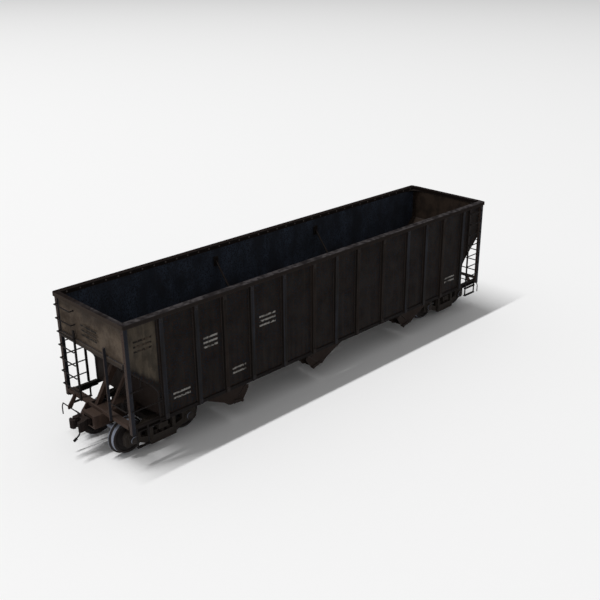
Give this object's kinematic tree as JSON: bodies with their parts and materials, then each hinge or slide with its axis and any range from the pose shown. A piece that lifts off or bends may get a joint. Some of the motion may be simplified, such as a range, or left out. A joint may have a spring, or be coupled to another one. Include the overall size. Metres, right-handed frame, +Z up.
{
  "type": "model hopper car",
  "caption": "Open-top three-bay hopper car for HO railways with swivelling trucks, rolling wheels, swinging couplers and drop doors.",
  "frame": {"origin": "middle of the car on the plane that the wheel flanges touch", "axes": "+X along the car towards the hand-brake end, +Y to the left when facing it, +Z up"},
  "size_m": [0.186, 0.037, 0.0455],
  "materials": {
    "weathered_paint": "weathered matt",
    "worn_rim": "worn matt",
    "bare_rusty_steel": "rusty",
    "underframe_brown": "dusty matt",
    "truck_casting": "dusty",
    "wheel_steel": "rolled, bright tread",
    "spring_steel": "dusty",
    "coupler_casting": "rusty",
    "screw_steel": "blackened",
    "hose_rubber": "matt"
  },
  "bodies": {
    "car_body": {"side_sheet_right": "weathered_paint", "side_sheet_left": "weathered_paint", "side_posts_right": "weathered_paint", "side_posts_left": "weathered_paint", "side_sills": "weathered_paint", "top_chord": "worn_rim", "end_sheet_a": "weathered_paint", "end_sheet_b": "weathered_paint", "slope_sheets": "bare_rusty_steel", "cross_ridges": "bare_rusty_steel", "sill_hood": "bare_rusty_steel", "hopper_bay_a": "underframe_brown", "hopper_bay_mid": "underframe_brown", "hopper_bay_b": "underframe_brown", "body_bolsters": "underframe_brown", "centre_sill": "underframe_brown", "draft_covers": "underframe_brown", "end_sills": "underframe_brown", "end_posts": "underframe_brown", "end_struts": "underframe_brown", "ladders": "underframe_brown", "grab_irons": "underframe_brown", "step_irons": "underframe_brown", "cross_braces": "bare_rusty_steel", "brake_reservoir": "underframe_brown", "brake_cylinder": "underframe_brown", "control_valve": "underframe_brown", "brake_pipe": "underframe_brown", "air_hoses": "hose_rubber", "handbrake_stand": "underframe_brown", "screws": "screw_steel"},
    "truck_a": {"sideframes_a": "truck_casting", "truck_bolster_a": "truck_casting", "truck_springs_a": "spring_steel", "brake_beams_a": "truck_casting"},
    "wheelset_a1": {"axle_a1": "wheel_steel", "wheels_a1": "wheel_steel"},
    "wheelset_a2": {"axle_a2": "wheel_steel", "wheels_a2": "wheel_steel"},
    "coupler_a_body": {"coupler_a": "coupler_casting"},
    "knuckle_a_body": {"knuckle_a": "coupler_casting"},
    "cut_lever_a_body": {"uncoupling_lever_a": "underframe_brown"},
    "truck_b": {"sideframes_b": "truck_casting", "truck_bolster_b": "truck_casting", "truck_springs_b": "spring_steel", "brake_beams_b": "truck_casting"},
    "wheelset_b1": {"axle_b1": "wheel_steel", "wheels_b1": "wheel_steel"},
    "wheelset_b2": {"axle_b2": "wheel_steel", "wheels_b2": "wheel_steel"},
    "coupler_b_body": {"coupler_b": "coupler_casting"},
    "knuckle_b_body": {"knuckle_b": "coupler_casting"},
    "cut_lever_b_body": {"uncoupling_lever_b": "underframe_brown"},
    "doors_a": {"door_pair_a": "underframe_brown"},
    "latch_a_body": {"door_latch_a": "underframe_brown"},
    "doors_mid": {"door_pair_mid": "underframe_brown"},
    "latch_mid_body": {"door_latch_mid": "underframe_brown"},
    "doors_b": {"door_pair_b": "underframe_brown"},
    "latch_b_body": {"door_latch_b": "underframe_brown"},
    "brake_wheel_body": {"brake_wheel": "underframe_brown"}
  },
  "joints": [
    {"name": "truck_a_swivel", "type": "hinge", "parent": "car_body", "child": "truck_a", "pos_m": [-0.0702, 0, 0.0084], "axis": [0, 0, 1], "range_deg": [-10, 10]},
    {"name": "wheelset_a1_spin", "type": "hinge", "parent": "truck_a", "child": "wheelset_a1", "pos_m": [-0.0804, 0, 0.00585], "axis": [0, 1, 0], "continuous": true},
    {"name": "wheelset_a2_spin", "type": "hinge", "parent": "truck_a", "child": "wheelset_a2", "pos_m": [-0.06, 0, 0.00585], "axis": [0, 1, 0], "continuous": true},
    {"name": "coupler_a_swing", "type": "hinge", "parent": "car_body", "child": "coupler_a_body", "pos_m": [-0.0818, 0, 0.01065], "axis": [0, 0, 1], "range_deg": [-9, 9], "stiffness_Nm_per_rad": 0.002},
    {"name": "knuckle_a_open", "type": "hinge", "parent": "coupler_a_body", "child": "knuckle_a_body", "pos_m": [-0.0909, 0.0015, 0.0109], "axis": [0, 0, -1], "range_deg": [0, 35]},
    {"name": "cut_lever_a_lift", "type": "hinge", "parent": "car_body", "child": "cut_lever_a_body", "pos_m": [-0.0869, 0.005, 0.0098], "axis": [0, 1, 0], "range_deg": [0, 40]},
    {"name": "truck_b_swivel", "type": "hinge", "parent": "car_body", "child": "truck_b", "pos_m": [0.0702, 0, 0.0084], "axis": [0, 0, 1], "range_deg": [-10, 10]},
    {"name": "wheelset_b1_spin", "type": "hinge", "parent": "truck_b", "child": "wheelset_b1", "pos_m": [0.06, 0, 0.00585], "axis": [0, 1, 0], "continuous": true},
    {"name": "wheelset_b2_spin", "type": "hinge", "parent": "truck_b", "child": "wheelset_b2", "pos_m": [0.0804, 0, 0.00585], "axis": [0, 1, 0], "continuous": true},
    {"name": "coupler_b_swing", "type": "hinge", "parent": "car_body", "child": "coupler_b_body", "pos_m": [0.0818, 0, 0.01065], "axis": [0, 0, 1], "range_deg": [-9, 9], "stiffness_Nm_per_rad": 0.002},
    {"name": "knuckle_b_open", "type": "hinge", "parent": "coupler_b_body", "child": "knuckle_b_body", "pos_m": [0.0909, -0.0015, 0.0109], "axis": [0, 0, -1], "range_deg": [0, 35]},
    {"name": "cut_lever_b_lift", "type": "hinge", "parent": "car_body", "child": "cut_lever_b_body", "pos_m": [0.0869, -0.005, 0.0098], "axis": [0, -1, 0], "range_deg": [0, 40]},
    {"name": "doors_a_drop", "type": "hinge", "parent": "car_body", "child": "doors_a", "pos_m": [-0.0404, 0, 0.01105], "axis": [0, -1, 0], "range_deg": [0, 50]},
    {"name": "latch_a_turn", "type": "hinge", "parent": "doors_a", "child": "latch_a_body", "pos_m": [-0.043, 0, 0.00655], "axis": [0, -1, 0], "range_deg": [0, 60]},
    {"name": "doors_mid_drop", "type": "hinge", "parent": "car_body", "child": "doors_mid", "pos_m": [-0.0132, 0, 0.01105], "axis": [0, 1, 0], "range_deg": [0, 50]},
    {"name": "latch_mid_turn", "type": "hinge", "parent": "doors_mid", "child": "latch_mid_body", "pos_m": [-0.0106, 0, 0.00655], "axis": [0, 1, 0], "range_deg": [0, 60]},
    {"name": "doors_b_drop", "type": "hinge", "parent": "car_body", "child": "doors_b", "pos_m": [0.0352, 0, 0.01105], "axis": [0, 1, 0], "range_deg": [0, 50]},
    {"name": "latch_b_turn", "type": "hinge", "parent": "doors_b", "child": "latch_b_body", "pos_m": [0.0378, 0, 0.00655], "axis": [0, 1, 0], "range_deg": [0, 60]},
    {"name": "brake_wheel_spin", "type": "hinge", "parent": "car_body", "child": "brake_wheel_body", "pos_m": [0.0867, -0.004, 0.0261], "axis": [1, 0, 0], "continuous": true}
  ]
}
